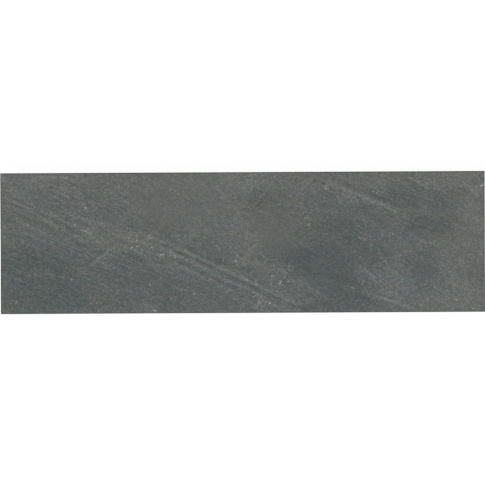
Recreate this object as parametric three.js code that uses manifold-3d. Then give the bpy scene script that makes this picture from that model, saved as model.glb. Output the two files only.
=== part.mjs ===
// Slate slab: a plank of natural slate. The block is split along its cleavage, which leaves the riven
// top face, ground flat underneath, sawn square on four sides, and its sharp edges are rubbed off.
// Millimetres, +Z up. The origin is the middle of the underside, +X runs along the length.
import * as THREE from "three";
import { mergeVertices } from "three/addons/utils/BufferGeometryUtils.js";
import Module from "manifold-3d";

// Sizes of the finished slab
const LENGTH = 600;
const WIDTH = 174.5;
const THICKNESS = 20; // from the underside to the mean level of the riven face
const TOP_ARRIS = 0.9; // face of the rubbed edge round the riven top, measured along the top
const UNDER_ARRIS = 0.6; // the same round the underside

// The grain of the cleavage runs down to the right, seen from above
const GRAIN_TURN = THREE.MathUtils.degToRad(-22.5);
const FACET_ALONG_GRAIN = 15;
const FACET_ACROSS_GRAIN = 2;
const SPLIT_MARGIN = 12; // how far the split sheet reaches past the saw cuts
const SAW_MARGIN = 5; // how far a cutting tool reaches past the stone

// Slow swell of the whole cleavage plane: wave length, the bearing it travels on, half its height
const SWELLS = [
  { wave: 410, bearing: 10, height: 0.3, phase: 0.6 },
  { wave: 230, bearing: 65, height: 0.18, phase: 2.1 },
  { wave: 120, bearing: -40, height: 0.1, phase: 4.0 },
];

// Fine ripple across the grain, which sways and fades as it runs along
const RIPPLE = { spacing: 15, height: 0.1, sway: 6, swayWave: 170, fadeWave: 95 };

// Low ridges that stand on the face where the cleavage stepped from one sheet to the next
const RIDGES = [
  { from: [-128, 14], to: [72, -78], width: 8, height: 0.6 },
  { from: [-118, 0], to: [22, -66], width: 7.5, height: 0.45 },
  { from: [-130, -4], to: [-6, -64], width: 7, height: 0.3 },
  { from: [-304, 61], to: [-192, 1], width: 8, height: 0.4 },
  { from: [-290, 65], to: [-200, 17], width: 7.5, height: 0.35 },
  { from: [-280, 30], to: [-228, 6], width: 7, height: 0.3 },
  { from: [-304, 45], to: [-280, 36], width: 7, height: 0.25 },
  { from: [-224, 39], to: [-134, 10], width: 8, height: 0.3 },
  { from: [-196, -28], to: [-152, -44], width: 7, height: 0.25 },
  { from: [-150, -33], to: [-84, -64], width: 8, height: 0.3 },
  { from: [-134, -72], to: [-104, -86], width: 8, height: 0.35 },
  { from: [0, 46], to: [40, 37], width: 6, height: 0.3 },
  { from: [-8, -19], to: [54, -38], width: 8, height: 0.3 },
  { from: [68, -46], to: [106, -70], width: 8, height: 0.3 },
  { from: [96, 78], to: [216, 27], width: 10, height: 0.65 },
  { from: [112, 43], to: [156, 25], width: 7, height: 0.25 },
  { from: [92, -42], to: [212, -85], width: 8, height: 0.45 },
  { from: [202, 80], to: [225, 68], width: 6, height: 0.35 },
  { from: [230, 10], to: [270, -9], width: 7, height: 0.25 },
  { from: [262, 76], to: [304, 60], width: 8, height: 0.3 },
];

// Shallow flat-floored scars where a flake of the sheet came away
const SCARS = [
  { at: [104, -24], along: 52, across: 27, depth: 0.5 },
  { at: [136, 20], along: 44, across: 20, depth: 0.4 },
  { at: [-240, -34], along: 84, across: 40, depth: 0.45 },
  { at: [-128, -24], along: 40, across: 12, depth: 0.3 },
  { at: [226, 38], along: 50, across: 20, depth: 0.35 },
  { at: [22, 54], along: 34, across: 14, depth: 0.3 },
  { at: [-46, -12], along: 34, across: 9, depth: 0.35 },
];
const SCAR_FLOOR = 0.72; // share of a scar's reach that is floor, the rest is its sloping rim
const SCAR_LOBES = { count: 3, share: 0.13 }; // how its outline bulges in and out

const wasm = await Module();
wasm.setup();

const bell = (q) => (Math.abs(q) < 1 ? (1 + Math.cos(Math.PI * q)) / 2 : 0);

// A point of the face in the grain's own directions: [along, across]
function inGrain(x, y) {
  const c = Math.cos(GRAIN_TURN);
  const s = Math.sin(GRAIN_TURN);
  return [x * c + y * s, y * c - x * s];
}

function swellAt(x, y) {
  return SWELLS.reduce((sum, { wave, bearing, height, phase }) => {
    const b = THREE.MathUtils.degToRad(bearing);
    const travelled = x * Math.cos(b) + y * Math.sin(b);
    return sum + height * Math.sin((2 * Math.PI * travelled) / wave + phase);
  }, 0);
}

function rippleAt(x, y) {
  const [along, across] = inGrain(x, y);
  const swayed = across + RIPPLE.sway * Math.sin((2 * Math.PI * along) / RIPPLE.swayWave);
  const fade = (1 + Math.sin((2 * Math.PI * (along + 2 * across)) / RIPPLE.fadeWave)) / 2;
  return RIPPLE.height * fade * Math.sin((2 * Math.PI * swayed) / RIPPLE.spacing);
}

function ridgeAt(x, y, { from, to, width, height }) {
  const [dx, dy] = [to[0] - from[0], to[1] - from[1]];
  const length = Math.hypot(dx, dy);
  const share = ((x - from[0]) * dx + (y - from[1]) * dy) / length ** 2;
  if (share <= 0 || share >= 1) return 0;
  const aside = ((y - from[1]) * dx - (x - from[0]) * dy) / length;
  return height * Math.sqrt(Math.sin(Math.PI * share)) * bell(aside / (width / 2));
}

function scarAt(x, y, { at, along, across, depth }) {
  const [u, v] = inGrain(x - at[0], y - at[1]);
  const turn = Math.atan2(v / across, u / along);
  const outline = 1 + SCAR_LOBES.share * Math.sin(SCAR_LOBES.count * turn + at[0]);
  const reach = Math.hypot(u / along, v / across) / outline;
  return -depth * (1 - THREE.MathUtils.smoothstep(reach, SCAR_FLOOR, 1));
}

// Height of the riven face above or below its mean level
function reliefAt(x, y) {
  const ridges = Math.max(...RIDGES.map((ridge) => ridgeAt(x, y, ridge)));
  const scars = Math.min(...SCARS.map((scar) => scarAt(x, y, scar)));
  return swellAt(x, y) + rippleAt(x, y) + ridges + scars;
}

// A closed geometry as a solid that can be cut
function solidOf(geometry) {
  const bare = geometry.clone().deleteAttribute("normal").deleteAttribute("uv");
  const merged = mergeVertices(bare);
  return new wasm.Manifold(
    new wasm.Mesh({
      numProp: 3,
      vertProperties: merged.attributes.position.array,
      triVerts: new Uint32Array(merged.index.array),
    }),
  );
}

function geometryOf(solid) {
  const mesh = solid.getMesh();
  const geometry = new THREE.BufferGeometry();
  geometry.setAttribute("position", new THREE.BufferAttribute(mesh.vertProperties, 3));
  geometry.setIndex(new THREE.BufferAttribute(mesh.triVerts, 1));
  geometry.computeVertexNormals();
  return geometry;
}

// The sheet as it was split from the block, larger than the slab, its facets drawn out along the grain
function splitSheet() {
  const c = Math.abs(Math.cos(GRAIN_TURN));
  const s = Math.abs(Math.sin(GRAIN_TURN));
  const along = LENGTH * c + WIDTH * s + 2 * SPLIT_MARGIN;
  const across = LENGTH * s + WIDTH * c + 2 * SPLIT_MARGIN;
  const stepsAlong = Math.round(along / FACET_ALONG_GRAIN);
  const stepsAcross = Math.round(across / FACET_ACROSS_GRAIN);
  const sheet = new THREE.BoxGeometry(along, across, THICKNESS, stepsAlong, stepsAcross, 1);
  sheet.rotateZ(GRAIN_TURN);
  const places = sheet.attributes.position;
  for (let i = 0; i < places.count; i++) {
    const riven = THICKNESS + reliefAt(places.getX(i), places.getY(i));
    places.setZ(i, places.getZ(i) > 0 ? riven : -SAW_MARGIN);
  }
  return solidOf(sheet);
}

// The room between the grinding wheel and the four saw cuts, open upwards
function sawnRoom() {
  const height = 2 * THICKNESS;
  return solidOf(new THREE.BoxGeometry(LENGTH, WIDTH, height).translate(0, 0, height / 2));
}

// The bar of stone that is rubbed off one edge: a square bar on its corner, whose inner face is the arris.
// It is made on the +Y side, and quarter turns take it to the other three.
function arrisBar(quarter, level, outwards, arris) {
  const [run, reach] = quarter % 2 ? [WIDTH, LENGTH / 2] : [LENGTH, WIDTH / 2];
  const offset = (THICKNESS / 2 - arris / Math.SQRT2) / Math.SQRT2;
  const bar = new THREE.BoxGeometry(run + 2 * SAW_MARGIN, THICKNESS, THICKNESS).rotateX(Math.PI / 4);
  bar.translate(0, reach + offset, level + outwards * offset);
  return solidOf(bar.rotateZ((quarter * Math.PI) / 2));
}

function slabSolid() {
  let slab = splitSheet().intersect(sawnRoom());
  for (let quarter = 0; quarter < 4; quarter++) {
    slab = slab.subtract(arrisBar(quarter, THICKNESS, 1, TOP_ARRIS));
    slab = slab.subtract(arrisBar(quarter, 0, -1, UNDER_ARRIS));
  }
  return slab;
}

const slate = new THREE.MeshStandardMaterial({ color: 0x626664, roughness: 0.72, metalness: 0 });
const slab = new THREE.Mesh(geometryOf(slabSolid()), slate);
slab.name = "slab";

const part = new THREE.Group();
part.name = "slate_slab";
part.add(slab);
export default part;
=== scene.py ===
# %% [markdown]
# # A slab of riven slate
# Slate splits along its cleavage. The top of this slab is left as it split, with low ridges, ledges and
# flake scars. The four sides are sawn, the underside is ground, and the sharp edges are rubbed off.
# The packed model gives its place and size. Here it gets a finer riven face and three finishes of one
# stone.

# %% Load the frame
import math

import bpy
import numpy as np
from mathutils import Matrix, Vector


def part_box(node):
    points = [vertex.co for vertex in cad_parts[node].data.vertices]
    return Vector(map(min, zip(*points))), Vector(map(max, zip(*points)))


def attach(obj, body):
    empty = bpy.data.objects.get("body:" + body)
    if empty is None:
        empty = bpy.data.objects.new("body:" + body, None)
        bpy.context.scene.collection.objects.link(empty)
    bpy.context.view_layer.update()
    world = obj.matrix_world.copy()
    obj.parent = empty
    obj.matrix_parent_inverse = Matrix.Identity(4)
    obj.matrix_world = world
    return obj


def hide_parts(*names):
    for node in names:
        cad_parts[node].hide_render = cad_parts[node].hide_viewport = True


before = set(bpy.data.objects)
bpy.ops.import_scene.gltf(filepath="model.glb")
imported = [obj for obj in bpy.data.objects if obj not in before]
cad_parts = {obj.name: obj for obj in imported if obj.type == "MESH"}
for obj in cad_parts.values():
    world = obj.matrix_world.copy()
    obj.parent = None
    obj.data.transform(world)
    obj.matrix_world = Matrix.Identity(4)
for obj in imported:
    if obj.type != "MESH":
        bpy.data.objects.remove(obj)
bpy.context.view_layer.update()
LOW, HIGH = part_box("slab")
LENGTH = HIGH.x - LOW.x
WIDTH = HIGH.y - LOW.y
MM = 0.001
THICKNESS = 20 * MM  # up to the mean level of the riven face
print(f"slab {LENGTH / MM:.1f} x {WIDTH / MM:.1f} mm, highest ridge at {HIGH.z / MM:.2f} mm")

# %% [markdown]
# ## The camera
# The photograph looks straight down, and the slab fills its width. A long lens far above keeps the four
# sides out of sight, as they are there. The slab lies a touch askew in the picture, so the camera is
# rolled.

# %% Camera
PHOTO_SIDE = 485  # pixels
SLAB_IN_PHOTO = 484.65  # pixels from end to end
SLAB_MIDDLE_IN_PHOTO = (242.75, 242.55)  # pixels from the left and from the top
SLAB_TURN_IN_PHOTO = math.radians(0.29)
LENS = 120  # mm, on a sensor of 36 mm
SENSOR = 36

pixel = LENGTH / SLAB_IN_PHOTO
camera = bpy.data.objects.new("camera", bpy.data.cameras.new("camera"))
camera.data.lens = LENS
camera.data.sensor_width = SENSOR
aside = (PHOTO_SIDE / 2 - SLAB_MIDDLE_IN_PHOTO[0]) * pixel
upward = (SLAB_MIDDLE_IN_PHOTO[1] - PHOTO_SIDE / 2) * pixel
camera.location = (aside, upward, THICKNESS + LENS / SENSOR * PHOTO_SIDE * pixel)
camera.rotation_euler = (0, 0, -SLAB_TURN_IN_PHOTO)
bpy.context.scene.collection.objects.link(camera)
bpy.context.scene.camera = camera
print(f"camera {camera.location.z:.2f} m up, one pixel is {pixel / MM:.2f} mm")

# %% [markdown]
# ## The sawn blank
# The stone starts as a closed block: a fine grid on top, rows of faces down the sides, and long strips
# underneath, one for each pass of the grinding wheel. Each point notes how much of the riven relief it
# follows, and each face which finish it gets. A cube with Subdivide and Bevel would make the block too.
# Plain arrays do it here, because every face is placed by a rule, and its finish is known as it is made.

# %% Sawn blank
CELL = 1.2 * MM  # about one pixel of the photograph
TOP_ARRIS = 0.9 * MM
UNDER_ARRIS = 0.6 * MM
TOP_ROUND = (30, 60, 90)  # degrees round the rubbed top edge, one row of faces each
UNDER_ROUND = (45, 90)
WALL_ROWS = 11
EDGE_SHADE_RIM = 0.6  # how much of the painted edge shade also falls on the outermost points of the top
RIVEN, SAWN, GROUND = range(3)


def edge_rows():
    """How far out and how high each row round the sides lies, from the top edge down."""
    arris = [math.radians(turn) for turn in TOP_ROUND]
    rows = [(TOP_ARRIS * math.sin(a), THICKNESS - TOP_ARRIS * (1 - math.cos(a))) for a in arris]
    high, low = THICKNESS - TOP_ARRIS, UNDER_ARRIS
    rows += [(TOP_ARRIS, high + (low - high) * i / WALL_ROWS) for i in range(1, WALL_ROWS + 1)]
    under = [math.radians(turn) for turn in UNDER_ROUND]
    rows += [(TOP_ARRIS - UNDER_ARRIS * (1 - math.cos(a)), low - low * math.sin(a)) for a in under]
    return rows


def sawn_blank():
    """The closed block as a mesh, with what its points and faces note."""
    along = round((LENGTH - 2 * TOP_ARRIS) / CELL)
    across = round((WIDTH - 2 * TOP_ARRIS) / CELL)
    xs = np.linspace(-LENGTH / 2 + TOP_ARRIS, LENGTH / 2 - TOP_ARRIS, along + 1)
    ys = np.linspace(-WIDTH / 2 + TOP_ARRIS, WIDTH / 2 - TOP_ARRIS, across + 1)
    grid = np.arange((along + 1) * (across + 1)).reshape(across + 1, along + 1)
    x, y = np.meshgrid(xs, ys)
    places = [np.stack([x.ravel(), y.ravel(), np.full(x.size, THICKNESS)], 1)]
    rim = np.concatenate([grid[0, :-1], grid[:-1, -1], grid[-1, :0:-1], grid[:0:-1, 0]])
    edge = places[0][rim]
    outward = np.stack([np.isclose(abs(edge[:, i]), s) * np.sign(edge[:, i])
                        for i, s in ((0, xs[-1]), (1, ys[-1]))], 1)
    squares = [grid[:-1, :-1], grid[:-1, 1:], grid[1:, 1:], grid[1:, :-1]]
    faces = np.stack(squares, -1).reshape(-1, 4).tolist()
    kinds = [RIVEN] * len(faces)
    # Painted shade: these rim points and the rounded edge below are darkened in the riven finish, as if
    # light fell off there.
    worn_and_shaded = np.zeros(grid.size)
    worn_and_shaded[rim] = EDGE_SHADE_RIM
    notes = {"follows": [np.ones(grid.size)], "wall": [np.zeros(grid.size)], "rubbed": [worn_and_shaded]}
    rows = edge_rows()
    ring = rim
    for number, (out, high) in enumerate(rows):
        flat = edge[:, :2] + outward * out
        places.append(np.column_stack([flat, np.full(len(rim), high)]))
        share = (high - THICKNESS / 2) / (THICKNESS / 2 - TOP_ARRIS)
        notes["follows"].append(np.full(len(rim), min(max(share, 0.0), 1.0)))
        notes["wall"].append(np.full(len(rim), len(TOP_ROUND) <= number < len(rows) - len(UNDER_ROUND)))
        notes["rubbed"].append(np.full(len(rim), number < len(TOP_ROUND)))
        lower = grid.size + len(rim) * number + np.arange(len(rim))
        turned = [np.roll(r, -1) for r in (lower, ring)]
        faces += np.stack([ring, lower, *turned], 1).tolist()
        kinds += [RIVEN if number < len(TOP_ROUND) else SAWN] * len(rim)
        ring = lower
    front, right, back, left = np.split(ring, np.cumsum([along, across, along]))
    left_side = np.append(left, front[0])[::-1]
    right_side = np.append(right, back[0])
    strips = [[left_side[j], left_side[j + 1], right_side[j + 1], right_side[j]] for j in range(across)]
    strips[0] += front[:0:-1].tolist()
    strips[-1][2:2] = back[:0:-1].tolist()
    faces += [[int(i) for i in strip] for strip in strips]
    kinds += [GROUND] * len(strips)
    mesh = bpy.data.meshes.new("riven_slab")
    mesh.from_pydata(np.concatenate(places).tolist(), [], faces)
    for name, values in notes.items():
        values = np.concatenate(values).astype(np.float32)
        mesh.attributes.new(name, "FLOAT", "POINT").data.foreach_set("value", values)
    mesh.attributes.new("finish", "INT", "FACE").data.foreach_set("value", kinds)
    mesh.polygons.foreach_set("use_smooth", [kind != GROUND for kind in kinds])
    return mesh


blank = sawn_blank()
print("blank:", len(blank.vertices), "points,", len(blank.polygons), "faces, closed:", not blank.validate())

# %% [markdown]
# ## Streaks and flecks
# The sheets of the slate ended in low, nearly straight steps, which rubbing has scuffed pale. Beside them
# run dark lines, partly grooves and partly painted shade on the ridges' far flanks. Here and there a larger
# grain shows as a pale fleck. Noise could scatter them, but on a real slab each has its own place, so each
# is a short route, drawn one by one. Two meshes of bare edges hold them, guides that Geometry Nodes measures
# distances to.

# %% Streak routes
# How pale (or, below zero, dark) at most, half width (mm), then the points it runs through (mm)
# Below zero, the dark lines beside the ridges are partly grooves and partly painted shade.
STREAKS = [
    # the long sheaf across the middle, pale and dark by turns
    (0.60, 4.0, [(-142, 14), (-119, 10), (-71, -11), (-25, -32), (11, -49), (70, -77)]),
    (-0.76, 2.5, [(-98, -2), (-34, -32)]),
    (-0.55, 2.3, [(-36, -32), (-4, -47), (67, -80)]),
    (0.64, 4.2, [(-130, 3), (-106, -5), (-74, -19), (-36, -38)]),
    (0.38, 4.2, [(-40, -36), (-7, -52), (22, -66)]),
    (-0.35, 3.0, [(-92, -16), (-50, -37), (-7, -57)]),
    (0.30, 3.2, [(-130, -4), (-78, -28), (-34, -50), (-7, -64)]),
    (-0.20, 3.2, [(-116, 15), (-60, -11)]),
    # a looser sheaf at the left
    (0.36, 3.0, [(-300, 59), (-289, 54), (-266, 43), (-247, 31), (-225, 19), (-192, 1)]),
    (0.20, 2.8, [(-281, 44), (-257, 32)]),
    (0.34, 3.0, [(-290, 65), (-262, 51), (-241, 42), (-221, 27), (-200, 18)]),
    (0.40, 3.0, [(-222, 38), (-181, 26), (-156, 21), (-146, 17), (-138, 9)]),
    (0.27, 3.2, [(-280, 30), (-254, 17), (-230, 7)]),
    (0.30, 3.0, [(-300, 44), (-282, 37)]),
    (-0.32, 3.0, [(-276, 36), (-251, 24), (-226, 11)]),
    (-0.45, 2.8, [(-226, 24), (-201, 11)]),
    (-0.35, 2.6, [(-148, 26), (-132, 15)]),
    # the broad ridge at the top right, and its shadow side
    (0.40, 4.0, [(106, 75), (116, 71), (125, 66)]),
    (0.57, 5.0, [(118, 69), (134, 63), (152, 55), (165, 50), (178, 45), (191, 38)]),
    (-0.44, 3.2, [(150, 64), (168, 56), (180, 51), (194, 45)]),
    (-0.20, 3.0, [(120, 77), (136, 69), (146, 63)]),
    # the straight ridge at the lower right
    (0.30, 3.4, [(92, -42), (127, -54), (163, -66)]),
    (0.65, 3.0, [(156, -64), (178, -71), (193, -76), (218, -87)]),
    (-0.25, 4.5, [(140, -66), (172, -78)]),
    (0.30, 4.0, [(170, -59), (186, -65)]),
    # short ones
    (0.95, 1.8, [(1, 45.6), (12, 42)]),
    (0.45, 1.8, [(8, 43.2), (26, 37.4), (38, 34)]),
    (-0.45, 2.4, [(3, 42), (12, 39), (22, 35)]),
    (0.36, 2.0, [(206, 80), (216, 75), (226, 68)]),
    (-0.62, 2.2, [(203, 77.5), (214, 72), (224, 65.5)]),
    (0.40, 4.0, [(-12, -18), (13, -25), (30, -25), (54, -38)]),
    (0.30, 4.0, [(69, -46), (79, -53), (104, -69)]),
    (0.90, 2.7, [(-191, -28), (-176, -18), (-158, -4)]),
    (0.45, 2.6, [(-177, -24.5), (-160, -12)]),
    (1.15, 2.6, [(145, -30), (152, -35), (157, -39), (164, -44)]),
    (0.50, 2.2, [(172, -18), (178, -26), (186, -36)]),
    (0.28, 3.0, [(112, 42), (153, 26)]),
    (0.28, 3.0, [(232, 9), (269, -9)]),
    (0.30, 3.0, [(275, 74), (284, 64), (290, 58)]),
    (-0.40, 2.8, [(266, 68), (281, 61)]),
    (-0.35, 3.0, [(195, 24), (248, 11)]),
    (0.50, 2.0, [(280, -17), (288, -19), (292, -23)]),
    (0.45, 3.0, [(-116, -77), (-106, -87)]),
    (0.40, 2.0, [(-126, -32), (-117, -41)]),
    (-0.35, 2.6, [(-158, -40), (-138, -47), (-116, -55)]),
    # bruises
    (0.45, 6.0, [(-197, 18), (-189, 14)]),
    (0.35, 4.5, [(-142, 41), (-136, 39)]),
    (0.35, 6.0, [(36, -44), (47, -49)]),
    # small dark hollows
    (-1.1, 2.2, [(98, 74), (102, 73)]),
    (-0.7, 2.0, [(71, 58), (73, 58)]),
    (-0.6, 2.0, [(88, 76), (91, 76)]),
]
print(len(STREAKS), "streaks")

# %% Flecks, the largest grains
# How pale, middle x and y, length (mm), turn in degrees
FLECKS = [
    # in the upper left
    (2.0, -194.5, 44.5, 1, 0), (1.2, -207, 22, 3, -45), (1.3, -212, 18.5, 1, 0), (1.1, -196, 15, 7, -32),
    (1.1, -226, 29, 4, -25), (1.0, -238, 39, 2, -30), (0.9, -257, 45, 1, 0), (0.6, -281, 49, 7, -30),
    (1.0, -294, 8.5, 2, 60), (0.8, -266, 22.5, 7, -20), (0.9, -204.5, 9, 2, 0), (0.6, -223, 68, 13, -22),
    # in the lower left
    (2.5, -213, -44.5, 2, 0), (0.8, -251, -24, 1, 0), (1.0, -281.5, -73, 2, 80), (1.8, -180, -83.5, 2, 60),
    (1.1, -190, -67, 2, 0), (1.0, -184, -66.5, 5, -10), (0.9, -194, -16, 5, 90), (0.8, -162, -14.5, 3, 30),
    (1.0, -181, -75, 4, 80), (0.6, -172, -69, 7, -25),
    # along the sheaf in the middle
    (2.0, -111, -6.5, 4, -40), (1.9, -100, -14.5, 5, -10), (1.8, -89.5, -16.5, 3, -20),
    (1.8, -83, -18, 3, -30), (1.4, -68.5, -22, 4, -30), (1.1, -67, -33.5, 2, -20), (1.1, -136, -4.5, 3, 20),
    (1.1, -138, -7, 3, 70), (0.9, -124, -9, 2, 0), (0.9, -134, -1, 2, 0), (0.5, -116, 8, 6, -30),
    (0.8, -140, 11, 6, -45), (1.1, -76, -46.5, 1, 0), (1.4, -76, -58, 1, 0), (1.1, -68, -59, 2, 0),
    (1.1, -60.5, -63, 2, 0), (1.0, -66.5, -65.5, 2, 20), (0.8, -37, -74.5, 1, 0),
    (1.1, -108.5, -84.5, 4, -40), (0.8, -119, -77, 2, -40),
    # in the upper middle
    (1.5, -141, 38.5, 2, 0), (0.9, -151.5, 69.5, 4, -45), (0.9, -117.5, 72, 4, -20), (1.0, -80, 60, 1, 0),
    (1.6, -56, 66, 1, 0), (1.0, -56.5, 61, 1, 0), (1.0, -91, 47, 3, 0), (0.8, -99, 49, 4, 15),
    (1.3, -25, 55, 2, 0), (1.1, -24.5, 31, 2, 0), (1.0, -25, 27, 1, 0), (0.9, -71, 23.5, 1, 0),
    (1.0, 3.5, 44.5, 2, 0), (0.9, 18, 52.5, 6, -8), (0.6, 18, 76.5, 5, 15), (1.0, 25.5, 21, 2, 0),
    (0.9, -6, 56, 3, -20), (0.8, 61, 70, 2, 0),
    # the clusters at the bottom and right of the middle
    (1.6, 55, -48, 1, 0), (1.0, 46.5, -49.5, 6, 80), (1.0, 36, -42, 3, 0), (0.9, 42, -32.5, 5, 0),
    (0.9, 33, -34, 2, -40), (2.6, 19.5, -75, 4, 5), (2.6, 15, -79, 3, 0), (2.4, 20, -78, 2, 0),
    (2.0, 23.5, -82, 3, -50), (1.0, 17, -65.5, 4, 20), (0.9, 13.5, -67.5, 2, -30), (0.9, 24.5, -67, 4, 10),
    (1.5, 0, -75, 2, 0), (0.9, -10, -71, 3, 60), (1.4, 33, -76, 3, 60), (1.0, 72.5, -47, 4, -10),
    (1.0, 72, -75.5, 2, 0), (1.2, 12, -28, 2, 20), (1.0, 4, -27, 3, 40), (1.4, -7.5, -22, 2, 30),
    (1.0, -15, -4, 4, -60), (0.9, -8, -15, 6, -40), (0.9, 0, -24, 6, -50), (1.0, 8, -20.5, 5, -30),
    # in the right half
    (1.8, 95, 20, 1, 80), (1.3, 78.5, 30, 3, 20), (0.9, 82, 22, 3, 80), (0.9, 71, 46.5, 4, 60),
    (1.0, 164.5, 12, 2, 60), (1.1, 183, 6, 3, -30), (1.4, 194.5, 6, 2, 0), (0.9, 146, 4, 4, 10),
    (0.9, 139, 26, 2, 0), (0.8, 133, 27.5, 2, 30), (0.9, 137.5, 56, 3, -25), (0.9, 104, 65, 6, -35),
    (0.9, 163, 62.5, 9, -17), (0.9, 188, 38.5, 3, 70), (0.8, 192, 51, 3, 80), (0.8, 237.5, 66, 4, 70),
    (1.4, 293.5, 69, 8, 5), (2.5, 147.8, -51, 3, 75), (1.3, 141, -32, 4, -60), (1.4, 160, -10, 2, 0),
    (1.0, 182, -32, 3, -20), (1.1, 170.5, -59, 5, -15), (0.9, 186, -63, 4, 0), (1.3, 199.5, -78.5, 2, 0),
    (0.8, 123.5, -54.5, 1, 0), (0.9, 168, -84, 2, -40), (1.0, 206.5, -34.5, 1, 0), (0.8, 190, -45, 2, 60),
    (0.8, 225, -51.5, 3, 70), (0.8, 237.5, -30, 9, -8), (0.9, 258.5, -35, 7, 45), (0.9, 263, -73.5, 5, 65),
    (1.1, 296.5, -16, 3, -30), (1.1, 293.5, -26, 1, 0), (0.8, 169, -14, 1, 0), (1.0, 136, -57, 3, 0),
    (0.9, 146, -18, 2, 60), (0.9, 178, -3, 3, -30), (1.0, 170, 22, 3, -20), (0.9, 160, -4, 3, 0),
]
print(len(FLECKS), "flecks")

# %% Guides from the routes
FLECK_REACH = 2.1  # mm
STREAK_STEP = 6 * MM
FEWEST_STEPS = 3
FADE = 0.2  # nearer to zero, a streak keeps its strength further towards its ends


def guide(name, rows):
    """Routes as a mesh of short edges. Each notes its reach and its mark, which fades towards both ends."""
    places, edges, notes = [], [], {"mark": [], "reach": []}
    for mark, reach, route in rows:
        x, y = np.array(route).T * MM
        run = np.append(0, np.cumsum(np.hypot(np.diff(x), np.diff(y))))
        steps = max(FEWEST_STEPS, round(run[-1] / STREAK_STEP))
        at = np.linspace(0, run[-1], steps + 1)
        edges += [(len(places) + i, len(places) + i + 1) for i in range(steps)]
        places += np.column_stack([np.interp(at, run, x), np.interp(at, run, y), 0 * at]).tolist()
        notes["mark"] += (mark * np.sin(np.pi * (np.arange(steps) + 0.5) / steps) ** FADE).tolist()
        notes["reach"] += [reach * MM] * steps
    mesh = bpy.data.meshes.new(name)
    mesh.from_pydata(places, edges, [])
    for note, values in notes.items():
        mesh.attributes.new(note, "FLOAT", "EDGE").data.foreach_set("value", values)
    made = bpy.data.objects.new(name, mesh)
    bpy.context.scene.collection.objects.link(made)
    return made


def straight(x, y, length, turn):
    """The two ends of a line, from its middle."""
    dx, dy = length / 2 * math.cos(math.radians(turn)), length / 2 * math.sin(math.radians(turn))
    return [(x - dx, y - dy), (x + dx, y + dy)]


fleck_rows = [(mark, FLECK_REACH, straight(*line)) for mark, *line in FLECKS]
guides = {"Streaks": guide("streaks", STREAKS), "Flecks": guide("flecks", fleck_rows)}
print({name: len(made.data.edges) for name, made in guides.items()}, "edges")

# %% [markdown]
# ## One small function for nodes
# Geometry and shader trees are both built from nodes. This function adds one, sets its properties, and
# links or sets its sockets, so that each statement below reads as one node.


# %% Node helper
def node(tree, kind, sockets=None, **settings):
    """A new node. Each setting is a property, each socket gets a link or a value."""
    made = tree.nodes.new(kind)
    for name, value in settings.items():
        setattr(made, name, value)
    for key, value in (sockets or {}).items():
        if isinstance(value, bpy.types.NodeSocket):
            tree.links.new(value, made.inputs[key])
        else:
            made.inputs[key].default_value = value
    return made


print("node:", node.__doc__)

# %% [markdown]
# ## Riving, sawing and grinding
# The packed slab carries the main relief: the slow swell, the ridges and the flake scars. It is faceted, so
# a Geometry Nodes tree drops a ray onto it from above each point of the blank, and blurs what it reads.
# To that it adds what a split face has at a smaller size: streaks and flecks, grain drawn out one way,
# ledges where one sheet ends and the next begins, and small pits. The same tree cuts the saw's lines into
# the sides and the wheel's into the underside, always into the stone, and stores what the finishes need.
# Sculpting could do it too, but in a tree each size stays a number with a name.

# %% Relief tree: inputs
GRAIN_TURN = math.radians(-22.5)  # the grain runs down to the right, seen from above
SEED = 7.0
RELIEF_SIZES = {  # metres, except the steps
    "Streak height": 0.16 * MM,
    "Fleck height": 0.05 * MM,
    "Fray": 1.3 * MM,
    "Grain length": 24 * MM,
    "Grain width": 3.4 * MM,
    "Grain height": 0.16 * MM,
    "Ledge length": 70 * MM,
    "Ledge width": 22 * MM,
    "Ledge height": 0.16 * MM,
    "Ledge steps": 7.0,
    "Pit width": 2.8 * MM,
    "Pit depth": 0.12 * MM,
    "Lamina length": 160 * MM,
    "Lamina thickness": 1.5 * MM,
    "Lamina depth": 0.10 * MM,
    "Wheel mark width": 3.0 * MM,
    "Wheel mark depth": 0.06 * MM,
}
relief = bpy.data.node_groups.new("rive_saw_and_grind", "GeometryNodeTree")
slots = relief.interface
slots.new_socket("Geometry", in_out="OUTPUT", socket_type="NodeSocketGeometry")
slots.new_socket("Blank", in_out="INPUT", socket_type="NodeSocketGeometry")
for name in ("Cleavage", *guides):
    slots.new_socket(name, in_out="INPUT", socket_type="NodeSocketObject")
slots.new_socket("Seed", in_out="INPUT", socket_type="NodeSocketFloat")
for name in RELIEF_SIZES:
    slots.new_socket(name, in_out="INPUT", socket_type="NodeSocketFloat")
for name in ("Riven finish", "Sawn finish", "Ground finish"):
    slots.new_socket(name, in_out="INPUT", socket_type="NodeSocketMaterial")
given = node(relief, "NodeGroupInput").outputs
print("relief tree takes", [socket.name for socket in given if socket.name])

# %% Relief tree: the cleavage, read from the packed slab
CLEAR = 100 * MM  # rays start well above the stone
FACET_BLUR = 7  # rounds, enough to lose the facets
HOLLOW_BLUR = 110  # rounds, about as wide as a ridge and its hollows

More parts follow.
